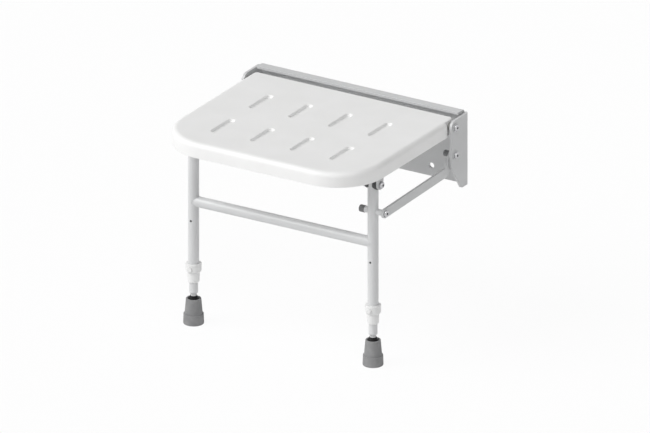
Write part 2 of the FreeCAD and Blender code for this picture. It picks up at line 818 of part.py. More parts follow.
# leg frame
def legTube(name, x, linked):
    body = turnAlongZ(name, [
        (legInner, tubeEnd + s.fitGap), (legRadius, tubeEnd + s.fitGap), (legRadius, legTop),
        (legInner, legTop),
    ], x, legY, 0)
    pivots = newSketch(body, "YZ_Plane")
    drawCircle(pivots, 0, legPivotZ, runRadius)
    if linked:
        drawCircle(pivots, 0, linkEndZ, holeRadius)
    pocket(body, pivots)
    front = newSketch(body, "XZ_Plane")
    drawCircle(front, 0, buttonZ + s.frontHoleRise, s.frontHole / 2)
    pocket(body, front, side="One side", backward=True)
    slot = newSketch(body, "XZ_Plane")
    wide = s.toothWidth / 2 + s.latchEndGap
    tall = s.toothHeight / 2 + s.latchEndGap
    drawBox(slot, -wide, buttonZ - tall, wide, buttonZ + tall)
    pocket(body, slot, side="One side")
    return body


def legTopPlugs():
    body = turnAlongZ("legTopPlug", [
        (0, -s.plugStem), (legInner - s.fitGap, -s.plugStem), (legInner - s.fitGap, 0),
        (legRadius, 0), (legRadius, s.plugHeadHeight, s.plugHeadHeight / 2), (0, s.plugHeadHeight),
    ], legX, legY, legTop)
    bolt = newSketch(body, "YZ_Plane")
    drawCircle(bolt, 0, legPivotZ - legTop, runRadius)
    pocket(body, bolt)
    keepPair("leg_top_plugs", body)


def crossTube():
    body = newBody("crossTube")
    ring = newSketch(body, "YZ_Plane")
    drawCircle(ring, legY, crossTubeZ, legRadius)
    drawCircle(ring, legY, crossTubeZ, legInner)
    pad(body, ring, legX * 2)
    cope = newSketch(body, "XY_Plane")
    for x in (-legX, legX):
        drawCircle(cope, x, legY, legRadius + s.fitGap)
    pocket(body, cope)
    keep("cross_tube", body)


def seated(body):
    """Hollows a spacer out where it lies against the round leg tube."""
    tube = newSketch(body, "XY_Plane")
    drawCircle(tube, 0, 0, legRadius + s.fitGap)
    pocket(body, tube)
    return body


def legSaddles():
    outer = seated(ringAlongX("legSaddle", s.saddleDiameter / 2, runRadius,
                              s.saddleStart, s.saddleReach, legX, legY, legPivotZ))
    inner = seated(ringAlongX("legInnerSaddle", s.saddleDiameter / 2, runRadius,
                              -s.saddleReach, -s.saddleStart, legX, legY, legPivotZ))
    keepGroup("leg_saddles", [outer, inner, mirrored(outer), mirrored(inner)])


def linkEnd():
    head = linkOuter + s.faceGap
    capFace = legX - legRadius - s.endSaddleLength
    reach = head - capFace + s.capLength - s.capEnd - s.faceGap
    keep("link_end_bolt", buttonBolt("linkEndBolt", head, legY, linkEndZ, reach))
    sleeve = ringAlongX("linkEndSleeve", s.sleeveDiameter / 2, threadRadius, 0,
                        legRadius + s.sleeveLength, legX, legY, linkEndZ)
    keep("link_end_sleeve", seated(sleeve))
    saddleEnd = -legRadius - s.endSaddleLength
    saddle = turnAlongX("linkEndSaddle", [
        (saddleEnd, threadRadius), (-legRadius / 2, threadRadius), (-legRadius / 2, s.sleeveDiameter / 2),
        (saddleEnd, s.endSaddleDiameter / 2),
    ], legX, legY, linkEndZ)
    keep("link_end_saddle", seated(saddle))
    keep("link_end_cap_nut", capNut("linkEndCapNut", capFace, legY, linkEndZ))


def legCollar():
    bore = innerRadius + s.runGap
    tubeBore = legRadius + s.fitGap
    ring = s.collarRingDiameter / 2
    shoulder = s.collarLength - s.collarRingHeight
    room = s.latchHeight / 2 + s.latchEndGap
    body = turnAlongZ("legCollar", [
        (bore, 0), (s.collarMouthDiameter / 2, 0), (s.collarFootDiameter / 2, s.collarFootChamfer),
        (s.collarTopDiameter / 2, shoulder - s.collarShoulder), (ring, shoulder),
        (ring, s.collarLength, s.collarRounding), (tubeBore, s.collarLength),
        (tubeBore, s.buttonRise + room), (ring - s.collarRingWall, s.buttonRise + room),
        (ring - s.collarRingWall, s.buttonRise - room), (tubeBore, s.buttonRise - room),
        (tubeBore, s.collarTubeSeat), (bore, s.collarTubeSeat),
    ], legX, legY, collarFoot)
    button = newSketch(body, "XZ_Plane")
    drawCircle(button, 0, s.buttonRise, s.buttonDiameter / 2 + s.shimGap)
    pocket(body, button, side="One side", backward=True)
    keepSides("leg_collar", body)


# link on the right
def linkArm():
    # The middle line runs from the cheek bolt to the elbow and on to the leg, in the side view.
    endY = legY - pivotY
    endZ = linkEndZ - linkPivotZ
    elbowY, elbowZ = -s.linkElbowReach, -s.linkElbowDrop
    upper = place("linkUpper", root(elbowY * elbowY + elbowZ * elbowZ))
    lowerY, lowerZ = endY - elbowY, endZ - elbowZ
    lower = place("linkLower", root(lowerY * lowerY + lowerZ * lowerZ))
    half = s.linkWidth / 2
    upperSide = [place("linkUpperSideY", elbowZ * half / upper), place("linkUpperSideZ", -elbowY * half / upper)]
    lowerSide = [place("linkLowerSideY", lowerZ * half / lower), place("linkLowerSideZ", -lowerY * half / lower)]
    spread = place("linkSpread", (upperSide[0] * lowerSide[0] + upperSide[1] * lowerSide[1])
                   / (half * half) + 1)
    miter = [place("linkMiterY", (upperSide[0] + lowerSide[0]) / spread),
             place("linkMiterZ", (upperSide[1] + lowerSide[1]) / spread)]

    body = newBody("linkArm", linkInner, pivotY, linkPivotZ)
    side = newSketch(body, "YZ_Plane")
    drawOutline(side, [
        (upperSide[0], upperSide[1]),
        (elbowY + miter[0], elbowZ + miter[1], s.linkElbowCorner),
        (endY + lowerSide[0], endZ + lowerSide[1]),
        (endY - lowerSide[0], endZ - lowerSide[1]),
        (elbowY - miter[0], elbowZ - miter[1], s.linkElbowCorner + half),
        (-upperSide[0], -upperSide[1]),
    ])
    pad(body, side, s.linkThickness, "One side")
    for y, z in ((0, 0), (endY, endZ)):
        end = newSketch(body, "YZ_Plane")
        drawCircle(end, y, z, half)
        pad(body, end, s.linkThickness, "One side")
    holes = newSketch(body, "YZ_Plane")
    for y, z in ((0, 0), (endY, endZ)):
        drawCircle(holes, y, z, s.linkBushDiameter / 2 + s.fitGap)
    pocket(body, holes)
    keep("link_arm", body)


def linkBushes():
    bushes = [
        ringAlongX("linkBush", s.linkBushDiameter / 2, runRadius, 0, s.linkThickness, linkInner, y, z)
        for y, z in ((pivotY, linkPivotZ), (legY, linkEndZ))
    ]
    keepGroup("link_bushes", bushes)


# height adjusters
def button():
    body = newBody("button", legX, legY, buttonZ)
    foot = -legRadius - s.latchEndGap - s.buttonTravel - s.shimGap - s.latchWall - s.shimGap
    turn(body, "XY_Plane", "V_Axis", [
        (0, foot), (0, -s.buttonReach), (s.buttonDiameter / 2, -s.buttonReach, s.buttonRounding),
        (s.buttonDiameter / 2, foot),
    ])
    keepSides("button", body)


def latchRing():
    # A spring strip around the tube. Its front lies behind the button, its tooth enters from the rear.
    body = newBody("latchRing", legX, legY, buttonZ)
    rear = legRadius + s.latchEndGap
    front = rear + s.buttonTravel + s.shimGap
    across = legRadius + s.latchSideGap
    wall = s.latchWall
    strip = newSketch(body, "XY_Plane")
    drawOutline(strip, [
        (-across, -front, rear), (across, -front, rear), (across, rear, rear), (-across, rear, rear),
    ])
    drawOutline(strip, [
        (-across - wall, -front - wall, rear + wall), (across + wall, -front - wall, rear + wall),
        (across + wall, rear + wall, rear + wall), (-across - wall, rear + wall, rear + wall),
    ])
    pad(body, strip, s.latchHeight)
    tooth = newSketch(body, "XY_Plane")
    drawBox(tooth, -s.toothWidth / 2, innerRadius + s.faceGap, s.toothWidth / 2, rear + wall / 2)
    pad(body, tooth, s.toothHeight)
    keepSides("latch_ring", body)


def innerLeg():
    foot = floorZ + s.ferruleFloor + s.fitGap
    bore = innerRadius - s.innerLegWall
    neckBore = neckRadius - s.innerLegWall
    body = turnAlongZ("innerLeg", [
        (neckBore, foot), (neckRadius, foot), (neckRadius, neckTop), (innerRadius, taperTop),
        (innerRadius, innerLegTop), (bore, innerLegTop), (bore, taperTop), (neckBore, neckTop),
    ], legX, legY, 0)
    slots = newSketch(body, "XZ_Plane")
    wide = s.toothWidth / 2 + s.latchEndGap
    tall = s.toothHeight / 2 + s.latchEndGap
    for step in range(lockHoles):
        middle = buttonZ + s.lockPitch * step
        drawBox(slots, -wide, middle - tall, wide, middle + tall)
    pocket(body, slots, side="One side")
    front = newSketch(body, "XZ_Plane")
    drawCircle(front, 0, buttonZ + s.frontHoleRise, s.innerFrontHole / 2)
    pocket(body, front, side="One side", backward=True)
    keepSides("inner_leg", body)


def innerLegGlide():
    stem = innerRadius - s.innerLegWall - s.fitGap
    body = turnAlongZ("innerLegGlide", [
        (0, -s.glideStem), (stem, -s.glideStem), (stem, 0), (legInner - s.runGap, 0),
        (legInner - s.runGap, s.glideHead), (0, s.glideHead),
    ], legX, legY, innerLegTop)
    keepSides("inner_leg_glide", body)


def ferrule():
    top = s.ferruleHeight
    mouth = s.ferruleMouthDiameter / 2
    body = turnAlongZ("ferrule", [
        (0, 0), (s.ferruleBaseDiameter / 2, 0, s.ferruleRounding),
        (s.ferruleBandDiameter / 2, s.ferruleBandHeight, s.ferruleRim),
        (s.ferruleConeDiameter / 2, s.ferruleBandHeight),
        (s.ferruleTopDiameter / 2, top, s.ferruleRim), (mouth, top, s.ferruleRim),
        (mouth, s.ferruleFloor), (0, s.ferruleFloor),
    ], legX, legY, floorZ)
    treads = newSketch(body, "XY_Plane")
    for step in (1, 2, 3, 4):
        drawCircle(treads, 0, 0, s.treadWidth * (step + 1))
    pocket(body, treads, s.treadDepth, "One side", True)
    keepSides("ferrule", body)


def ferruleInsert():
    bore = neckRadius + s.fitGap
    outside = s.ferruleMouthDiameter / 2 - s.fitGap
    foot = s.ferruleFloor + s.fitGap
    crown = s.ferruleHeight + s.insertRise
    body = turnAlongZ("ferruleInsert", [
        (bore, foot), (outside, foot), (outside, s.ferruleHeight - s.insertRimDrop),
        (bore + s.insertCrown, crown), (bore, crown),
    ], legX, legY, floorZ)
    keepSides("ferrule_insert", body)


wallPlate()
seatPivots()
linkPivot()
seatShell()
sideRail()
hingeBushes()
keep("cross_rail_front", crossRail("crossRailFront", frontRailY))
keep("cross_rail_rear", crossRail("crossRailRear", rearRailY))
seatScrews()
legBracket()
legPivots()
keep("leg_tube_right", legTube("legTubeRight", legX, True))
keep("leg_tube_left", legTube("legTubeLeft", -legX, False))
legTopPlugs()
crossTube()
legSaddles()
linkEnd()
legCollar()
linkArm()
linkBushes()
button()
latchRing()
innerLeg()
innerLegGlide()
ferrule()
ferruleInsert()

doc.recompute()
for item in doc.Objects:
    if "Invalid" in item.State or "Error" in item.State:
        raise RuntimeError(f"{item.Name} failed: {item.State}")
for name, item in nodes.items():
    shape = item.Shape
    if shape.isNull() or not shape.isValid() or not shape.Solids:
        raise RuntimeError(f"{name} has no valid solid")
for name, item in nodes.items():
    item.Shape.exportStep(f"parts/{name}.step")
    print(f"{name}: {len(item.Shape.Solids)} solid(s), {item.Shape.Volume / 1000:.2f} cm3")
print(f"{len(nodes)} sub-parts written")
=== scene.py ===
import math

import bmesh
import bpy
from mathutils import Matrix, Vector


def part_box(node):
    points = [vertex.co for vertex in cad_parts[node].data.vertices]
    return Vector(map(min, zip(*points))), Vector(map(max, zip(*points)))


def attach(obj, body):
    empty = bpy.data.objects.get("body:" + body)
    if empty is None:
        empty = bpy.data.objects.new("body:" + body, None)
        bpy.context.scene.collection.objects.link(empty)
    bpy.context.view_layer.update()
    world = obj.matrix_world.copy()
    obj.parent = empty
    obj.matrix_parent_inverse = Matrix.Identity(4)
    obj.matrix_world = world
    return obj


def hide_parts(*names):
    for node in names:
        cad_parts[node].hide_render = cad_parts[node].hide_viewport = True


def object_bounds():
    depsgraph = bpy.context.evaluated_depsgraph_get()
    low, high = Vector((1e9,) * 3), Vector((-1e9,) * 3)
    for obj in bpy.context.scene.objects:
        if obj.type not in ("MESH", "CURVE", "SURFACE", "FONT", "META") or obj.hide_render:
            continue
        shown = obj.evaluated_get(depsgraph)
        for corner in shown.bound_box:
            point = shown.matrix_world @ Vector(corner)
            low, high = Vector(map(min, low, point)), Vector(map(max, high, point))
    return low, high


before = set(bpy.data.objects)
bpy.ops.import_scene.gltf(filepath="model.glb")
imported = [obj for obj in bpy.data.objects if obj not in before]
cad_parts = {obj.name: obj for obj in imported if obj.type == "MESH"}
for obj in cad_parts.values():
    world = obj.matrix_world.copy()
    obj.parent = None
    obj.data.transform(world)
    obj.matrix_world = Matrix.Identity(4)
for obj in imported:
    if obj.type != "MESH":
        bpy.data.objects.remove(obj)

# The studio, the surfaces and the small detail pieces of a wall-mounted folding shower seat.
print("frame loaded")
cadBox = [list(corner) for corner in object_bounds()]
scene = bpy.context.scene
mm = 0.001

# The photograph has no vanishing points, so the camera is orthographic.
camera = {
    "azimuth": 31.352,          # degrees round from the front, towards the link side
    "elevation": 22.383,        # degrees above the horizon
    "scale": 1.2884,            # metres across the picture
    "target": (0, -0.1485, -0.1424),
    "distance": 3.0,
    "near": 0.1,
    "far": 20.0,
}


def viewDirection(azimuth, elevation):
    side = math.radians(azimuth)
    rise = math.radians(elevation)
    return Vector((math.sin(side) * math.cos(rise), -math.cos(side) * math.cos(rise), math.sin(rise)))


# Stands a camera or a lamp away from a point and turns it back towards it.
def standBack(name, data, direction, centre=(0, 0, 0)):
    item = bpy.data.objects.new(name, data)
    item.location = Vector(centre) + direction * camera["distance"]
    item.rotation_mode = "QUATERNION"
    item.rotation_quaternion = (-direction).to_track_quat("-Z", "Y")
    scene.collection.objects.link(item)
    return item


def makeCamera():
    data = bpy.data.cameras.new("camera")
    data.type = "ORTHO"
    data.ortho_scale = camera["scale"]
    data.clip_start = camera["near"]
    data.clip_end = camera["far"]
    direction = viewDirection(camera["azimuth"], camera["elevation"])
    scene.camera = standBack("camera", data, direction, camera["target"])


makeCamera()
print("camera ready")


# Small helpers for node trees, used by the studio and by every material.
def addNode(tree, kind, **settings):
    node = tree.nodes.new("ShaderNode" + kind)
    for name, value in settings.items():
        setattr(node, name, value)
    return node


# Links the socket to another one, or sets its number or colour.
def feed(tree, socket, value):
    if isinstance(value, bpy.types.NodeSocket):
        tree.links.new(value, socket)
    elif isinstance(value, (tuple, list)) and len(value) == 3 and socket.type == "RGBA":
        socket.default_value = (*value, 1)
    else:
        socket.default_value = value


def calc(tree, operation, first, second=0.0, third=0.0, clamp=False):
    node = addNode(tree, "Math", operation=operation, use_clamp=clamp)
    for socket, value in zip(node.inputs, (first, second, third)):
        feed(tree, socket, value)
    return node.outputs[0]


# Stretches a range of values to 0 and 1, or to other ends.
def span(tree, value, fromLow, fromHigh, toLow=0.0, toHigh=1.0, soft=False):
    node = addNode(tree, "MapRange", interpolation_type="SMOOTHSTEP" if soft else "LINEAR")
    for name, item in (("Value", value), ("From Min", fromLow), ("From Max", fromHigh),
                       ("To Min", toLow), ("To Max", toHigh)):
        feed(tree, node.inputs[name], item)
    return node.outputs["Result"]


# A Mix node's colours are its sockets 6 and 7, and its colour comes out at 2.
def mixColour(tree, share, first, second):
    node = addNode(tree, "Mix", data_type="RGBA")
    feed(tree, node.inputs[0], share)
    feed(tree, node.inputs[6], first)
    feed(tree, node.inputs[7], second)
    return node.outputs[2]


def mixShaders(tree, share, first, second):
    node = addNode(tree, "MixShader")
    feed(tree, node.inputs[0], share)
    feed(tree, node.inputs[1], first.outputs[0])
    feed(tree, node.inputs[2], second.outputs[0])
    return node.outputs[0]


def noise(tree, place, scale, detail=2.0, rough=0.5):
    node = addNode(tree, "TexNoise")
    for name, value in (("Vector", place), ("Scale", scale), ("Detail", detail), ("Roughness", rough)):
        feed(tree, node.inputs[name], value)
    return node.outputs["Fac"]


studio = {
    "keyLight": 2.08,           # a wide soft lamp at the front left
    "keyAzimuth": -45.0,
    "keyElevation": 40.0,
    "keyAngle": 40.0,
    "fillLight": 0.63,          # a weaker lamp, higher up at the front right
    "fillAzimuth": 40.0,
    "fillElevation": 58.0,
    "fillAngle": 24.0,
    "tentLight": 0.67,          # the white tent
    "tentFade": ((0.1, 1.0), (0.3, 0.83), (0.5, 0.51), (0.85, 0.16)),   # height, then level
    "floorSize": 8.0,
    "floorColour": 0.92,
    "floorClear": 0.94,         # how far the camera sees through it, to the white tent
}


# One for camera, glossy and transmission rays, so that metal shows the white background too.
def seenDirectly(tree):
    paths = addNode(tree, "LightPath")
    bright = calc(tree, "MAXIMUM", paths.outputs["Is Glossy Ray"], paths.outputs["Is Transmission Ray"])
    return calc(tree, "MAXIMUM", paths.outputs["Is Camera Ray"], bright)


# A plain white background that lights the part more from low down than from overhead.
def makeTent():
    world = bpy.data.worlds.new("whiteTent")
    scene.world = world
    world.use_nodes = True
    tree = world.node_tree
    tree.nodes.clear()
    split = addNode(tree, "SeparateXYZ")
    feed(tree, split.inputs[0], addNode(tree, "TexCoord").outputs["Generated"])
    fade = addNode(tree, "ValToRGB")
    fade.color_ramp.interpolation = "EASE"
    points = fade.color_ramp.elements
    while len(points) < len(studio["tentFade"]):
        points.new(0.5)
    for point, (height, level) in zip(points, studio["tentFade"]):
        point.position = height
        point.color = (level, level, level, 1)
    feed(tree, fade.inputs[0], split.outputs["Z"])
    white = addNode(tree, "Background")
    tent = addNode(tree, "Background")
    for background in (white, tent):
        background.inputs["Color"].default_value = (1, 1, 1, 1)
    feed(tree, tent.inputs["Strength"], calc(tree, "MULTIPLY", fade.outputs[0], studio["tentLight"]))
    output = addNode(tree, "OutputWorld")
    feed(tree, output.inputs["Surface"], mixShaders(tree, seenDirectly(tree), tent, white))


def makeLamp(name):
    data = bpy.data.lights.new(name + "Lamp", "SUN")
    data.energy = studio[name + "Light"]
    data.angle = math.radians(studio[name + "Angle"])
    standBack(name + "Lamp", data, viewDirection(studio[name + "Azimuth"], studio[name + "Elevation"]))


def makeFloor():
    mesh = bpy.data.meshes.new("floor")
    build = bmesh.new()
    bmesh.ops.create_grid(build, x_segments=1, y_segments=1, size=studio["floorSize"] / 2)
    bmesh.ops.translate(build, verts=build.verts, vec=(0, 0, cadBox[0][2]))
    build.to_mesh(mesh)
    build.free()
    item = bpy.data.objects.new("floor", mesh)
    scene.collection.objects.link(item)
    material = bpy.data.materials.new("floorPaper")
    material.use_nodes = True
    tree = material.node_tree
    tree.nodes.clear()
    paper = addNode(tree, "BsdfDiffuse")
    feed(tree, paper.inputs["Color"], (studio["floorColour"],) * 3)
    # A foot that is let down past the floor is seen through it, and light from above reaches it.
    above = calc(tree, "MULTIPLY", seenDirectly(tree), studio["floorClear"])
    clear = calc(tree, "MAXIMUM", above, addNode(tree, "NewGeometry").outputs["Backfacing"])
    output = addNode(tree, "OutputMaterial")
    feed(tree, output.inputs["Surface"], mixShaders(tree, clear, paper, addNode(tree, "BsdfTransparent")))
    mesh.materials.append(material)


makeTent()
makeLamp("key")
makeLamp("fill")
makeFloor()
scene.view_settings.view_transform = "Standard"
print("studio ready")


# Effects that several materials share.
def newGroup(name, inputs, outputs):
    group = bpy.data.node_groups.new(name, "ShaderNodeTree")
    for title in inputs:
        kind = "NodeSocketVector" if title == "Place" else "NodeSocketFloat"
        group.interface.new_socket(title, in_out="INPUT", socket_type=kind)
    for title in outputs:
        group.interface.new_socket(title, in_out="OUTPUT", socket_type="NodeSocketFloat")
    start = group.nodes.new("NodeGroupInput")
    end = group.nodes.new("NodeGroupOutput")
    return group, start.outputs, end.inputs


# Noise in a group, at a multiple of the scale that the group is given.
def scaledNoise(group, given, times, detail):
    return noise(group, given["Place"], calc(group, "MULTIPLY", given["Scale"], times), detail)


mouldTexture = {
    "fineScale": 3.1,           # times the coarse grain's scale, as is toneScale
    "fineShare": 0.45,
    "toneScale": 0.013,
    "toneRange": (0.32, 0.68),
}


# The fine spark-eroded grain of a moulding, with slow changes of tone over it.
def makeMouldGrain():
    group, given, out = newGroup("mouldGrain", ("Place", "Scale"), ("Height", "Tone"))
    coarse = noise(group, given["Place"], given["Scale"], 3.0)
    fine = scaledNoise(group, given, mouldTexture["fineScale"], 1.0)
    feed(group, out["Height"], calc(group, "MULTIPLY_ADD", fine, mouldTexture["fineShare"], coarse))
    slow = scaledNoise(group, given, mouldTexture["toneScale"], 3.0)
    feed(group, out["Tone"], span(group, slow, *mouldTexture["toneRange"]))
    return group


powderTexture = {
    "swellScale": 0.6,          # times the dimples' scale, as are the next two
    "speckleScale": 4.0,
    "toneScale": 0.02,
    "range": (0.35, 0.65),
}


# The shallow dimples of baked powder, and its speckle.
def makeOrangePeel():
    group, given, out = newGroup("orangePeel", ("Place", "Scale"), ("Height", "Speckle", "Tone"))
    cells = addNode(group, "TexVoronoi", feature="SMOOTH_F1")
    feed(group, cells.inputs["Vector"], given["Place"])
    feed(group, cells.inputs["Scale"], given["Scale"])
    feed(group, cells.inputs["Smoothness"], 1.0)
    swell = scaledNoise(group, given, powderTexture["swellScale"], 1.0)
    feed(group, out["Height"], calc(group, "ADD", cells.outputs["Distance"], swell))
    dust = scaledNoise(group, given, powderTexture["speckleScale"], 1.0)
    feed(group, out["Speckle"], span(group, dust, *powderTexture["range"]))
    slow = scaledNoise(group, given, powderTexture["toneScale"], 2.0)
    feed(group, out["Tone"], span(group, slow, *powderTexture["range"]))
    return group


edgeWear = {
    "samples": 6,
    "bend": (0.99, 0.8),        # cosines of the turn where the wear starts and where it is whole
    "patchScale": 220.0,
    "patchRange": (0.3, 0.6),
}


# One along sharp outer edges, broken up a little.
def makeEdgeMask():
    group, given, out = newGroup("edgeMask", ("Place", "Radius", "Break"), ("Mask",))
    soft = addNode(group, "Bevel", samples=edgeWear["samples"])
    feed(group, soft.inputs["Radius"], given["Radius"])
    match = addNode(group, "VectorMath", operation="DOT_PRODUCT")
    feed(group, match.inputs[0], soft.outputs["Normal"])
    feed(group, match.inputs[1], addNode(group, "NewGeometry").outputs["Normal"])
    bend = span(group, match.outputs["Value"], *edgeWear["bend"])
    patches = noise(group, given["Place"], edgeWear["patchScale"], 3.0)
    patches = span(group, patches, *edgeWear["patchRange"])
    kept = calc(group, "MULTIPLY_ADD", calc(group, "SUBTRACT", patches, 1.0), given["Break"], 1.0)
    feed(group, out["Mask"], calc(group, "MULTIPLY", bend, kept, clamp=True))
    return group


# One deep in corners, sockets and holes, from ambient occlusion; the materials paint shade into their
# colour with it.
def makeCreviceMask():
    group, given, out = newGroup("creviceMask", ("Reach", "Low", "High"), ("Mask",))
    around = addNode(group, "AmbientOcclusion", samples=8)
    feed(group, around.inputs["Distance"], given["Reach"])
    shut = calc(group, "SUBTRACT", 1.0, around.outputs["AO"])
    feed(group, out["Mask"], span(group, shut, given["Low"], given["High"], soft=True))
    return group


# Tool rings about the X axis through the place's origin, as on a turned bolt head.
def makeTurnedRings():
    group, given, out = newGroup("turnedRings", ("Place", "Pitch"), ("Height",))
    split = addNode(group, "SeparateXYZ")
    feed(group, split.inputs[0], given["Place"])
    squares = calc(group, "MULTIPLY", split.outputs["Y"], split.outputs["Y"])
    squares = calc(group, "MULTIPLY_ADD", split.outputs["Z"], split.outputs["Z"], squares)
    turns = calc(group, "DIVIDE", calc(group, "SQRT", squares), given["Pitch"])
    wobble = noise(group, given["Place"], 900.0)
    wave = calc(group, "SINE", calc(group, "MULTIPLY", calc(group, "ADD", turns, wobble), math.tau))
    feed(group, out["Height"], calc(group, "MULTIPLY_ADD", wave, 0.5, 0.5))
    return group


scuffMarks = {
    "stretch": (1.0, 1.0, 0.12),
    "detail": 4.0,
    "rough": 0.7,
    "level": 0.72,              # the noise above this is a mark, and Share lowers it
    "levelDrop": 0.2,
    "fade": 0.06,
}


# Thin marks that run along the place's Z axis, from cleaning and folding.
def makeScuffs():
    group, given, out = newGroup("scuffs", ("Place", "Scale", "Share"), ("Mask",))
    stretch = addNode(group, "VectorMath", operation="MULTIPLY")
    feed(group, stretch.inputs[0], given["Place"])
    stretch.inputs[1].default_value = scuffMarks["stretch"]
    lines = noise(group, stretch.outputs[0], given["Scale"], scuffMarks["detail"], scuffMarks["rough"])
    drop = calc(group, "MULTIPLY", given["Share"], scuffMarks["levelDrop"])
    low = calc(group, "SUBTRACT", scuffMarks["level"], drop)
    feed(group, out["Mask"], span(group, lines, low, calc(group, "ADD", low, scuffMarks["fade"])))
    return group


mouldGrain = makeMouldGrain()
orangePeel = makeOrangePeel()
edgeMask = makeEdgeMask()
creviceMask = makeCreviceMask()
turnedRings = makeTurnedRings()
scuffs = makeScuffs()


def useGroup(tree, group, **values):
    node = addNode(tree, "Group", node_tree=group)
    for name, value in values.items():
        feed(tree, node.inputs[name], value)
    return node.outputs


def startMaterial(name, given):
    material = bpy.data.materials.new(name)
    material.use_nodes = True
    tree = material.node_tree
    shader = tree.nodes["Principled BSDF"]
    shader.inputs["Metallic"].default_value = given.get("metal", 0.0)
    shader.inputs["IOR"].default_value = given.get("ior", 1.5)
    shader.inputs["Coat Weight"].default_value = given.get("coat", 0.0)
    shader.inputs["Coat Roughness"].default_value = given.get("coatRough", 0.2)
    place = addNode(tree, "TexCoord").outputs["Object"]
    return material, tree, shader, place


# Masks for the corners, sockets and holes where shade is painted into the colour, and for the edges that
# are rubbed.
def shadeAndWearMasks(tree, place, given):
    low, high = given["corner"]
    corner = useGroup(tree, creviceMask, Reach=given["reach"], Low=low, High=high)["Mask"]
    edges = useGroup(tree, edgeMask, Place=place, Radius=given["edge"] * 2, Break=given["break"])["Mask"]
    return corner, edges


# Painted shade: moves the colour towards a dark shade colour where the corner mask is high.
def addPaintedShade(tree, colour, corner, given):
    return mixColour(tree, calc(tree, "MULTIPLY", corner, given["paintedShade"]), colour, given["paintedShadeColour"])


def addRub(tree, colour, edges, given):
    return mixColour(tree, calc(tree, "MULTIPLY", edges, given["rub"]), colour, given["rubColour"])


# Colour, roughness and bump, over edges rounded a little, as moulded, bent or painted edges are.
def finish(tree, shader, colour, roughness, height, given):
    feed(tree, shader.inputs["Base Color"], colour)
    feed(tree, shader.inputs["Roughness"], roughness)
    edge = addNode(tree, "Bevel", samples=4)
    edge.inputs["Radius"].default_value = given["edge"]
    bump = addNode(tree, "Bump")
    bump.inputs["Strength"].default_value = given["bump"]
    bump.inputs["Distance"].default_value = given["depth"]
    feed(tree, bump.inputs["Height"], height)
    feed(tree, bump.inputs["Normal"], edge.outputs["Normal"])
    feed(tree, shader.inputs["Normal"], bump.outputs["Normal"])


# Each kind of surface has values of its own, and a material adds to them.
plasticKind = {"corner": (0.35, 0.95), "break": 0.5, "grainRange": (0.4, 1.0)}


def mouldedPlastic(name, own):
    given = {**plasticKind, **own}
    material, tree, shader, place = startMaterial(name, given)
    grain = useGroup(tree, mouldGrain, Place=place, Scale=given["grain"])
    corner, edges = shadeAndWearMasks(tree, place, given)
    colour = mixColour(tree, grain["Tone"], given["colour"], given["second"])
    # Painted shade in corners, recesses and holes.
    colour = addPaintedShade(tree, colour, corner, given)
    colour = addRub(tree, colour, edges, given)
    rough = span(tree, grain["Height"], *given["grainRange"], *given["rough"])
    finish(tree, shader, colour, rough, grain["Height"], given)
    return material


powderKind = {"corner": (0.4, 1.0), "break": 0.4, "speckle": 0.35, "scuffed": 0.35, "scuffRough": -0.06}


def bakedPowder(name, own):
    given = {**powderKind, **own}
    material, tree, shader, place = startMaterial(name, given)
    peel = useGroup(tree, orangePeel, Place=place, Scale=given["grain"])
    corner, edges = shadeAndWearMasks(tree, place, given)
    marks = useGroup(tree, scuffs, Place=place, Scale=given["marks"], Share=given["scuffed"])["Mask"]
    slow = calc(tree, "MULTIPLY", peel["Tone"], 1 - given["speckle"])
    tone = calc(tree, "MULTIPLY_ADD", peel["Speckle"], given["speckle"], slow)
    colour = mixColour(tree, tone, given["colour"], given["second"])
    # Painted shade in corners, recesses and holes.
    colour = addPaintedShade(tree, colour, corner, given)
    colour = addRub(tree, colour, edges, given)
    rough = span(tree, peel["Tone"], 0.0, 1.0, *given["rough"])
    rough = calc(tree, "MULTIPLY_ADD", marks, given["scuffRough"], rough)
    finish(tree, shader, colour, rough, peel["Height"], given)
    return material


steelKind = {
    "corner": (0.3, 0.65), "break": 0.3, "scuffed": 0.6, "scuffRough": 0.1, "creviceRough": 0.3,
    "cloud": 260.0, "cloudRange": (0.3, 0.7),
}


# Bare steel with tool rings about the bolt's own middle line.
def brightSteel(name, own, centre):
    given = {**steelKind, **own}
    material, tree, shader, place = startMaterial(name, given)
    about = addNode(tree, "Mapping")
    feed(tree, about.inputs["Vector"], place)
    about.inputs["Location"].default_value = (0, -centre.y, -centre.z)
    rings = useGroup(tree, turnedRings, Place=about.outputs[0], Pitch=given["ringPitch"])["Height"]
    marks = useGroup(tree, scuffs, Place=place, Scale=given["marks"], Share=given["scuffed"])["Mask"]
    corner, edges = shadeAndWearMasks(tree, place, given)
    cloud = span(tree, noise(tree, place, given["cloud"], 3.0), *given["cloudRange"])
    colour = mixColour(tree, cloud, given["colour"], given["second"])
    colour = addRub(tree, colour, edges, given)
    # Painted shade in sockets and corners, laid over the rubbed edges.
    colour = addPaintedShade(tree, colour, corner, given)
    rough = span(tree, cloud, 0.0, 1.0, *given["rough"])
    rough = calc(tree, "MULTIPLY_ADD", marks, given["scuffRough"], rough)
    rough = calc(tree, "MULTIPLY_ADD", corner, given["creviceRough"], rough, clamp=True)
    finish(tree, shader, colour, rough, rings, given)
    return material


rubberKind = {
    "corner": (0.3, 0.9), "break": 0.8, "grainRange": (0.4, 1.0),
    "fleck": 2.4,               # times the grain's scale
    "fleckRange": (0.6, 0.72),
    "bloom": 60.0, "bloomRange": (0.42, 0.7), "bloomMost": 0.5,
}


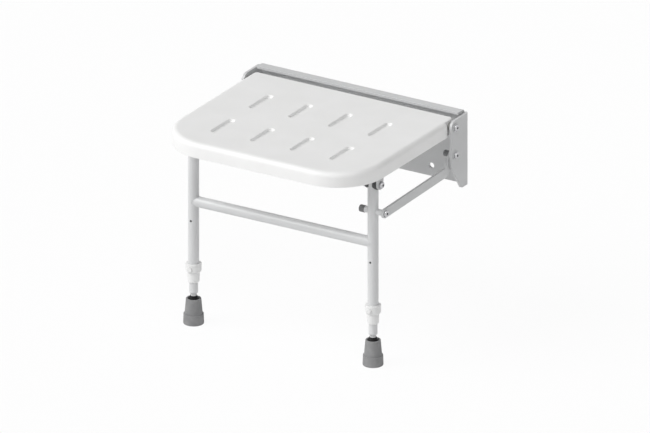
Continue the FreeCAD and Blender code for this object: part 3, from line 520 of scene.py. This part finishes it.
def mattRubber(name, own):
    given = {**rubberKind, **own}
    material, tree, shader, place = startMaterial(name, given)
    grain = useGroup(tree, mouldGrain, Place=place, Scale=given["grain"])
    corner, edges = shadeAndWearMasks(tree, place, given)
    fleck = noise(tree, place, given["grain"] * given["fleck"], 1.0)
    fleck = span(tree, fleck, *given["fleckRange"])
    bloom = noise(tree, place, given["bloom"], 4.0)
    bloom = span(tree, bloom, *given["bloomRange"], 0.0, given["bloomMost"])
    colour = mixColour(tree, grain["Tone"], given["colour"], given["second"])
    colour = mixColour(tree, calc(tree, "MAXIMUM", fleck, bloom), colour, given["rubColour"])
    colour = addRub(tree, colour, edges, given)
    # Painted shade in corners, steps and holes.
    colour = addPaintedShade(tree, colour, corner, given)
    rough = span(tree, grain["Height"], *given["grainRange"], *given["rough"])
    finish(tree, shader, colour, rough, grain["Height"], given)
    return material


# In each material below, the dark colour and its share that follow the second colour are painted shade
# for corners, sockets and holes.
seatPlastic = mouldedPlastic("seatPlastic", {
    "colour": (0.872, 0.872, 0.868), "second": (0.842, 0.842, 0.836),
    "paintedShadeColour": (0.5, 0.49, 0.47), "paintedShade": 0.35,
    "rubColour": (0.92, 0.92, 0.92), "rub": 0.3,
    "rough": (0.38, 0.52), "grain": 1100.0, "bump": 0.35, "depth": 0.05 * mm,
    "edge": 0.5 * mm, "reach": 3 * mm,
})
collarPlastic = mouldedPlastic("collarPlastic", {
    "colour": (0.79, 0.792, 0.79), "second": (0.76, 0.762, 0.758),
    "paintedShadeColour": (0.3, 0.295, 0.28), "paintedShade": 0.6,
    "rubColour": (0.86, 0.86, 0.86), "rub": 0.3,
    "rough": (0.28, 0.38), "grain": 1500.0, "bump": 0.2, "depth": 0.03 * mm,
    "edge": 0.4 * mm, "reach": 2 * mm,
})
saddlePlastic = mouldedPlastic("saddlePlastic", {
    "colour": (0.052, 0.052, 0.054), "second": (0.04, 0.04, 0.042),
    "paintedShadeColour": (0.012, 0.012, 0.012), "paintedShade": 0.6,
    "rubColour": (0.15, 0.15, 0.15), "rub": 0.5,
    "rough": (0.36, 0.5), "grain": 1300.0, "bump": 0.4, "depth": 0.05 * mm,
    "edge": 0.35 * mm, "reach": 2 * mm,
})
capPlastic = mouldedPlastic("capPlastic", {
    "colour": (0.185, 0.187, 0.19), "second": (0.16, 0.162, 0.165),
    "paintedShadeColour": (0.03, 0.03, 0.03), "paintedShade": 0.6,
    "rubColour": (0.26, 0.26, 0.26), "rub": 0.5,
    "rough": (0.3, 0.42), "grain": 1500.0, "bump": 0.3, "depth": 0.04 * mm,
    "edge": 0.35 * mm, "reach": 2 * mm,
})
bushNylon = mouldedPlastic("bushNylon", {
    "colour": (0.4, 0.398, 0.385), "second": (0.36, 0.358, 0.345),
    "paintedShadeColour": (0.14, 0.135, 0.12), "paintedShade": 0.6,
    "rubColour": (0.5, 0.5, 0.48), "rub": 0.3,
    "rough": (0.42, 0.55), "grain": 1400.0, "bump": 0.3, "depth": 0.04 * mm,
    "edge": 0.3 * mm, "reach": 2 * mm,
})
platePowder = bakedPowder("platePowder", {
    "colour": (0.605, 0.61, 0.615), "second": (0.572, 0.577, 0.582),
    "paintedShadeColour": (0.25, 0.25, 0.245), "paintedShade": 0.35,
    "rubColour": (0.7, 0.705, 0.71), "rub": 0.45,
    "rough": (0.42, 0.5), "grain": 620.0, "bump": 0.3, "depth": 0.06 * mm,
    "edge": 0.5 * mm, "reach": 3 * mm, "marks": 500.0, "coat": 0.12, "coatRough": 0.3,
})
legPowder = bakedPowder("legPowder", {
    "colour": (0.655, 0.66, 0.665), "second": (0.62, 0.625, 0.63),
    "paintedShadeColour": (0.28, 0.28, 0.275), "paintedShade": 0.35,
    "rubColour": (0.74, 0.745, 0.75), "rub": 0.4,
    "rough": (0.36, 0.44), "grain": 700.0, "bump": 0.22, "depth": 0.05 * mm,
    "edge": 0.4 * mm, "reach": 3 * mm, "marks": 700.0, "coat": 0.2, "coatRough": 0.25,
})
ferruleRubber = mattRubber("ferruleRubber", {
    "colour": (0.235, 0.236, 0.24), "second": (0.205, 0.206, 0.21),
    "paintedShadeColour": (0.1, 0.1, 0.098), "paintedShade": 0.15,
    "rubColour": (0.31, 0.31, 0.31), "rub": 0.5,
    "rough": (0.62, 0.8), "grain": 900.0, "bump": 0.5, "depth": 0.08 * mm,
    "edge": 0.5 * mm, "reach": 3 * mm, "ior": 1.45,
})
insertRubber = mattRubber("insertRubber", {
    "colour": (0.008, 0.008, 0.0085), "second": (0.006, 0.006, 0.0065),
    "paintedShadeColour": (0.002, 0.002, 0.002), "paintedShade": 0.6,
    "rubColour": (0.02, 0.02, 0.02), "rub": 0.4,
    "rough": (0.34, 0.5), "grain": 1000.0, "bump": 0.5, "depth": 0.07 * mm,
    "edge": 0.4 * mm, "reach": 2 * mm, "ior": 1.22,
})
# Its dark colour at full share paints the sockets and holes near black as shade.
boltSteel = {
    "colour": (0.55, 0.55, 0.56), "second": (0.46, 0.46, 0.475),
    "paintedShadeColour": (0.03, 0.03, 0.032), "paintedShade": 1.0,
    "rubColour": (0.8, 0.8, 0.8), "rub": 0.4, "metal": 1.0,
    "rough": (0.17, 0.26), "bump": 0.25, "depth": 0.03 * mm, "ringPitch": 0.45 * mm,
    "edge": 0.3 * mm, "reach": 4.5 * mm, "marks": 2500.0,
}


def middleOf(node):
    low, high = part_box(node)
    return (low + high) / 2


# What each node of the frame wears. Bright steel is made for each node, for the rings' sake.
wears = {
    "seat_shell": seatPlastic,
    "leg_saddles": saddlePlastic,
}
for side in ("left", "right"):
    wears["leg_collar_" + side] = collarPlastic
    wears["button_" + side] = collarPlastic
    wears["leg_tube_" + side] = legPowder
    wears["inner_leg_" + side] = legPowder
    wears["side_rail_" + side] = platePowder
    wears["leg_bracket_" + side] = platePowder
    wears["inner_leg_glide_" + side] = bushNylon
    wears["ferrule_" + side] = ferruleRubber
    wears["ferrule_insert_" + side] = insertRubber
for node in ("wall_plate", "link_arm", "cross_rail_front", "cross_rail_rear", "seat_pivot_washers",
             "link_pivot_washer"):
    wears[node] = platePowder
for node in ("cross_tube", "link_end_sleeve", "link_end_saddle"):
    wears[node] = legPowder
for node in ("link_pivot_spacer", "link_pivot_cap_nut", "link_end_cap_nut"):
    wears[node] = capPlastic
for node in ("link_shim", "seat_hinge_bushes", "link_bushes", "leg_top_plugs"):
    wears[node] = bushNylon
for node in ("seat_pivot_bolts", "link_pivot_bolt", "leg_pivot_bolts", "link_end_bolt",
             "seat_pivot_inner_washers", "leg_pivot_washers", "seat_pivot_nuts", "leg_pivot_nuts",
             "seat_screws", "latch_ring_left", "latch_ring_right"):
    title = node.replace("_", " ").title().replace(" ", "")
    wears[node] = brightSteel(title + "Steel", boltSteel, middleOf(node))
for node, material in wears.items():
    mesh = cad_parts[node].data
    mesh.materials.clear()
    mesh.materials.append(material)
print("materials assigned:", len(wears), "nodes")


# Turns a finished bmesh into a piece that moves with its body.
def addPiece(build, name, body, material):
    bmesh.ops.recalc_face_normals(build, faces=build.faces)
    mesh = bpy.data.meshes.new(name)
    build.to_mesh(mesh)
    build.free()
    mesh.materials.append(material)
    for face in mesh.polygons:
        face.use_smooth = True
    item = bpy.data.objects.new(name, mesh)
    scene.collection.objects.link(item)
    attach(item, body)
    return item


# Spins an outline right round an axis through the origin.
def spinRound(build, geom, axis, steps):
    bmesh.ops.spin(build, geom=geom, cent=(0, 0, 0), axis=axis, angle=math.tau, steps=steps,
                   use_merge=True)


def roundEdges(build, edges, size, segments):
    bmesh.ops.bevel(build, geom=edges, offset=size, offset_type="OFFSET", affect="EDGES",
                    segments=segments, profile=0.5, material=-1)


tubeWeld = {
    "radius": 0.9 * mm,
    "ripples": 36,
    "rippleDepth": 0.12,
    "steps": 144,
    "sides": 10,
}


# A weld bead round each end of the cross tube, along the line where it meets the round leg.
def makeTubeWelds():
    low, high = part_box("cross_tube")
    tubeRadius = (high.z - low.z) / 2
    middle = (low + high) / 2
    for side, name in ((-1, "left"), (1, "right")):
        legLow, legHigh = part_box("leg_tube_" + name)
        legX = (legLow.x + legHigh.x) / 2
        legRadius = (legHigh.x - legLow.x) / 2
        build = bmesh.new()
        ring = bmesh.ops.create_circle(build, segments=tubeWeld["sides"], radius=tubeWeld["radius"])
        bmesh.ops.translate(build, verts=ring["verts"], vec=(0, tubeRadius, 0))
        spinRound(build, build.verts[:] + build.edges[:], (1, 0, 0), tubeWeld["steps"])
        for vert in build.verts:
            turn = math.atan2(vert.co.z, vert.co.y)
            line = Vector((0, math.cos(turn), math.sin(turn))) * tubeRadius
            swell = 1 + tubeWeld["rippleDepth"] * math.sin(turn * tubeWeld["ripples"])
            reach = math.sqrt(max(legRadius**2 - line.y**2, 0))
            vert.co = line + (vert.co - line) * swell + Vector((legX - side * reach, middle.y, middle.z))
        addPiece(build, "crossTubeWeld" + name.title(), "leg_frame", legPowder)


frameWeld = {
    "radius": 1.4 * mm,
    "endSize": 0.5,             # times the radius, at both ends
    "pitch": 1.6 * mm,
    "fewestSteps": 4,
    "sides": 8,
    "rippleDepth": 0.16,
}


# One straight weld bead with a ripple for each drop of metal.
def addBead(build, start, end):
    start, end = Vector(start), Vector(end)
    along = end - start
    steps = max(frameWeld["fewestSteps"], 2 * round(along.length / frameWeld["pitch"]))
    turned = Matrix.Translation(start) @ along.to_track_quat("Z", "Y").to_matrix().to_4x4()
    size = frameWeld["endSize"]
    ring = bmesh.ops.create_circle(build, cap_ends=True, segments=frameWeld["sides"],
                                   radius=frameWeld["radius"] * size, matrix=turned)["verts"]
    face = ring[0].link_faces[0]
    for step in range(1, steps + 1):
        face = bmesh.ops.extrude_discrete_faces(build, faces=[face])["faces"][0]
        ripple = frameWeld["rippleDepth"] * (1 if step % 2 else -1)
        wanted = frameWeld["endSize"] if step == steps else 1 + ripple
        place = start + along * (step / steps)
        bmesh.ops.translate(build, verts=face.verts, vec=along / steps)
        bmesh.ops.scale(build, verts=face.verts, vec=(wanted / size,) * 3,
                        space=Matrix.Translation(-place))
        size = wanted


# Beads where the cross rails meet the side rails, and where the leg brackets meet them.
def makeFrameWelds():
    build = bmesh.new()
    for rail in ("cross_rail_front", "cross_rail_rear"):
        low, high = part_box(rail)
        for x in (low.x, high.x):
            addBead(build, (x, low.y, low.z), (x, low.y, high.z))
            addBead(build, (x, high.y, low.z), (x, high.y, high.z))
            addBead(build, (x, low.y, low.z), (x, high.y, low.z))
    for name in ("left", "right"):
        low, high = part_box("leg_bracket_" + name)
        railLow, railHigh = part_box("side_rail_" + name)
        for x in (railLow.x, railHigh.x):
            addBead(build, (x, low.y, railLow.z), (x, high.y, railLow.z))
    addPiece(build, "seatFrameWelds", "seat", platePowder)


shellRib = {
    "wall": 3.0 * mm,           # of the seat's shell
    "thickness": 2.0 * mm,
    "height": 3.0 * mm,
    "root": 0.6 * mm,           # how far a rib runs up into the wall above it
    "taper": 0.7,               # how thick it is at its lower edge, times its thickness
    "rounding": 0.5 * mm,
    "roundingSteps": 2,
    "lines": (-0.184, -0.092, 0.0, 0.092, 0.184),       # ribs that run front to back
    "outerLine": 0.15,          # lines further out than this are shorter at the front
    "outerCut": 0.028,
    "rows": (-0.382, -0.262, -0.214, -0.119),           # ribs from side to side, clear of the recesses
    "reachX": 0.2195,
    "cornerRow": 0.188,         # the foremost rib stops short of the round corners
    "front": -0.412,
    "back": -0.113,
    "flatArea": 2e-6,           # square metres, and smaller faces are smooth
}
ejectorMark = {
    "radius": 4.0 * mm,
    "bead": 0.35 * mm,
    "sides": 6,
    "steps": 32,
    "placesX": (-0.115, 0.115),
    "placesY": (-0.35, -0.295, -0.16),
}


# A rib that hangs from the wall above it and narrows towards its lower edge.
def addRib(build, x, y, middleZ, wide, deep):
    made = bmesh.ops.create_cube(build, size=1.0)["verts"]
    bmesh.ops.scale(build, verts=made, vec=(wide, deep, shellRib["height"] + shellRib["root"]))
    foot = [vert for vert in made if vert.co.z < 0]
    narrow = (shellRib["taper"], 1, 1) if wide < deep else (1, shellRib["taper"], 1)
    bmesh.ops.scale(build, verts=foot, vec=narrow)
    bmesh.ops.translate(build, verts=made, vec=(x, y, middleZ))


# A low round bead, made at the origin and then moved to its place.
def addMark(build, place):
    ring = bmesh.ops.create_circle(build, segments=ejectorMark["sides"],
                                   radius=ejectorMark["bead"])["verts"]
    upright = Matrix.Rotation(math.pi / 2, 3, "X")
    bmesh.ops.rotate(build, verts=ring, cent=(0, 0, 0), matrix=upright)
    bmesh.ops.translate(build, verts=ring, vec=(ejectorMark["radius"], 0, 0))
    edges = [edge for edge in build.edges if edge.verts[0] in ring]
    spinRound(build, ring + edges, (0, 0, 1), ejectorMark["steps"])
    done = [vert for vert in build.verts if vert.co.length < 2 * ejectorMark["radius"]]
    bmesh.ops.translate(build, verts=done, vec=place)


# Low stiffening ribs and ejector marks on the underside of the seat.
def makeShellRibs():
    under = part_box("seat_shell")[1].z - shellRib["wall"]
    middleZ = under + (shellRib["root"] - shellRib["height"]) / 2
    build = bmesh.new()
    for x in shellRib["lines"]:
        front = shellRib["front"] + (shellRib["outerCut"] if abs(x) > shellRib["outerLine"] else 0)
        addRib(build, x, (shellRib["back"] + front) / 2, middleZ, shellRib["thickness"],
               shellRib["back"] - front)
    for row, y in enumerate(shellRib["rows"]):
        reach = shellRib["cornerRow"] if row == 0 else shellRib["reachX"]
        addRib(build, 0, y, middleZ, 2 * reach, shellRib["thickness"])
    lower = [edge for edge in build.edges if all(vert.co.z < middleZ for vert in edge.verts)]
    roundEdges(build, lower, shellRib["rounding"], shellRib["roundingSteps"])
    for x in ejectorMark["placesX"]:
        for y in ejectorMark["placesY"]:
            addMark(build, (x, y, under))
    piece = addPiece(build, "shellRibs", "seat", seatPlastic)
    for face in piece.data.polygons:
        face.use_smooth = face.area < shellRib["flatArea"]


endCap = {
    "length": 12.2 * mm,
    "radius": 7.4 * mm,
    "rounding": 1.6 * mm,
    "lipRounding": 0.4 * mm,
    "roundingSteps": 5,
    "crown": 2.1 * mm,          # plastic over the end of the thread
    "thread": 4.0 * mm,
    "clearance": 0.1 * mm,
    "steps": 72,
    "near": 0.01 * mm,          # closer than this is the same place
}


# The edges that run round a shape spun about X, at this place along it and this radius.
def rimEdges(build, place, radius):
    return [edge for edge in build.edges if all(
        abs(vert.co.x - place) < endCap["near"] and abs(vert.co.yz.length - radius) < endCap["near"]
        for vert in edge.verts)]


# The cap nut at the link's lower end. Its skirt runs over the end of the saddle.
def makeEndCap():
    middle = middleOf("link_end_cap_nut")
    saddleLow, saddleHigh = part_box("link_end_saddle")
    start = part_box("link_end_cap_nut")[0].x
    mouth = start + endCap["length"]
    crown = start + endCap["crown"]
    shoulder = saddleLow.x - endCap["clearance"]
    bore = (saddleHigh.z - saddleLow.z) / 2 + endCap["clearance"]
    thread = endCap["thread"] + endCap["clearance"]
    outline = ((start, 0), (start, endCap["radius"]), (mouth, endCap["radius"]), (mouth, bore),
               (shoulder, bore), (shoulder, thread), (crown, thread), (crown, 0))
    build = bmesh.new()
    chain = [build.verts.new((x, radius, 0)) for x, radius in outline]
    edges = [build.edges.new(pair) for pair in zip(chain, chain[1:])]
    spinRound(build, chain + edges, (1, 0, 0), endCap["steps"])
    bmesh.ops.remove_doubles(build, verts=build.verts, dist=endCap["near"] / 10)
    for place, rounding in ((start, endCap["rounding"]), (mouth, endCap["lipRounding"])):
        rim = rimEdges(build, place, endCap["radius"])
        roundEdges(build, rim, rounding, endCap["roundingSteps"])
    bmesh.ops.translate(build, verts=build.verts, vec=(0, middle.y, middle.z))
    piece = addPiece(build, "linkEndCap", "leg_frame", capPlastic)
    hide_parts("link_end_cap_nut")


# A black sheet and peg inside each outer tube, painted shade that keeps the front hole dark.
shadeLiner = {
    "wall": 1.5 * mm,           # of the outer leg tube
    "gap": 0.02 * mm,
    "thickness": 0.12 * mm,
    "drop": 41.0 * mm,          # from the cross tube down to the pin hole
    "length": 26.0 * mm,
    "segments": 64,
    "pegRadius": 2.2 * mm,      # the hole is 4.5 mm wide
    "pegSunk": 0.25 * mm,       # below the tube's paint
    "pegSegments": 32,
}


# A thin black sheet inside each outer tube and a black peg in the tube's front hole: painted shade, put
# there so that the hole looks dark.
def makeShadeLiners():
    z = middleOf("cross_tube").z - shadeLiner["drop"]
    pegLength = shadeLiner["wall"] + shadeLiner["thickness"] - shadeLiner["pegSunk"]
    for side in ("left", "right"):
        low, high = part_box("leg_tube_" + side)
        middle = (low + high) / 2
        radius = (high.x - low.x) / 2 - shadeLiner["wall"] - shadeLiner["gap"]
        build = bmesh.new()
        bmesh.ops.create_cone(build, cap_ends=False, segments=shadeLiner["segments"], radius1=radius,
                              radius2=radius, depth=shadeLiner["length"])
        bmesh.ops.solidify(build, geom=build.faces, thickness=shadeLiner["thickness"])
        bmesh.ops.translate(build, verts=build.verts, vec=(middle.x, middle.y, z))
        pegY = low.y + shadeLiner["pegSunk"] + pegLength / 2
        turned = Matrix.Translation((middle.x, pegY, z)) @ Matrix.Rotation(math.pi / 2, 4, "X")
        bmesh.ops.create_cone(build, cap_ends=True, segments=shadeLiner["pegSegments"],
                              radius1=shadeLiner["pegRadius"], radius2=shadeLiner["pegRadius"],
                              depth=pegLength, matrix=turned)
        addPiece(build, "shadeLiner" + side.title(), "leg_frame", insertRubber)


makeTubeWelds()
makeFrameWelds()
makeShellRibs()
makeEndCap()
makeShadeLiners()
print("detail pieces ready")
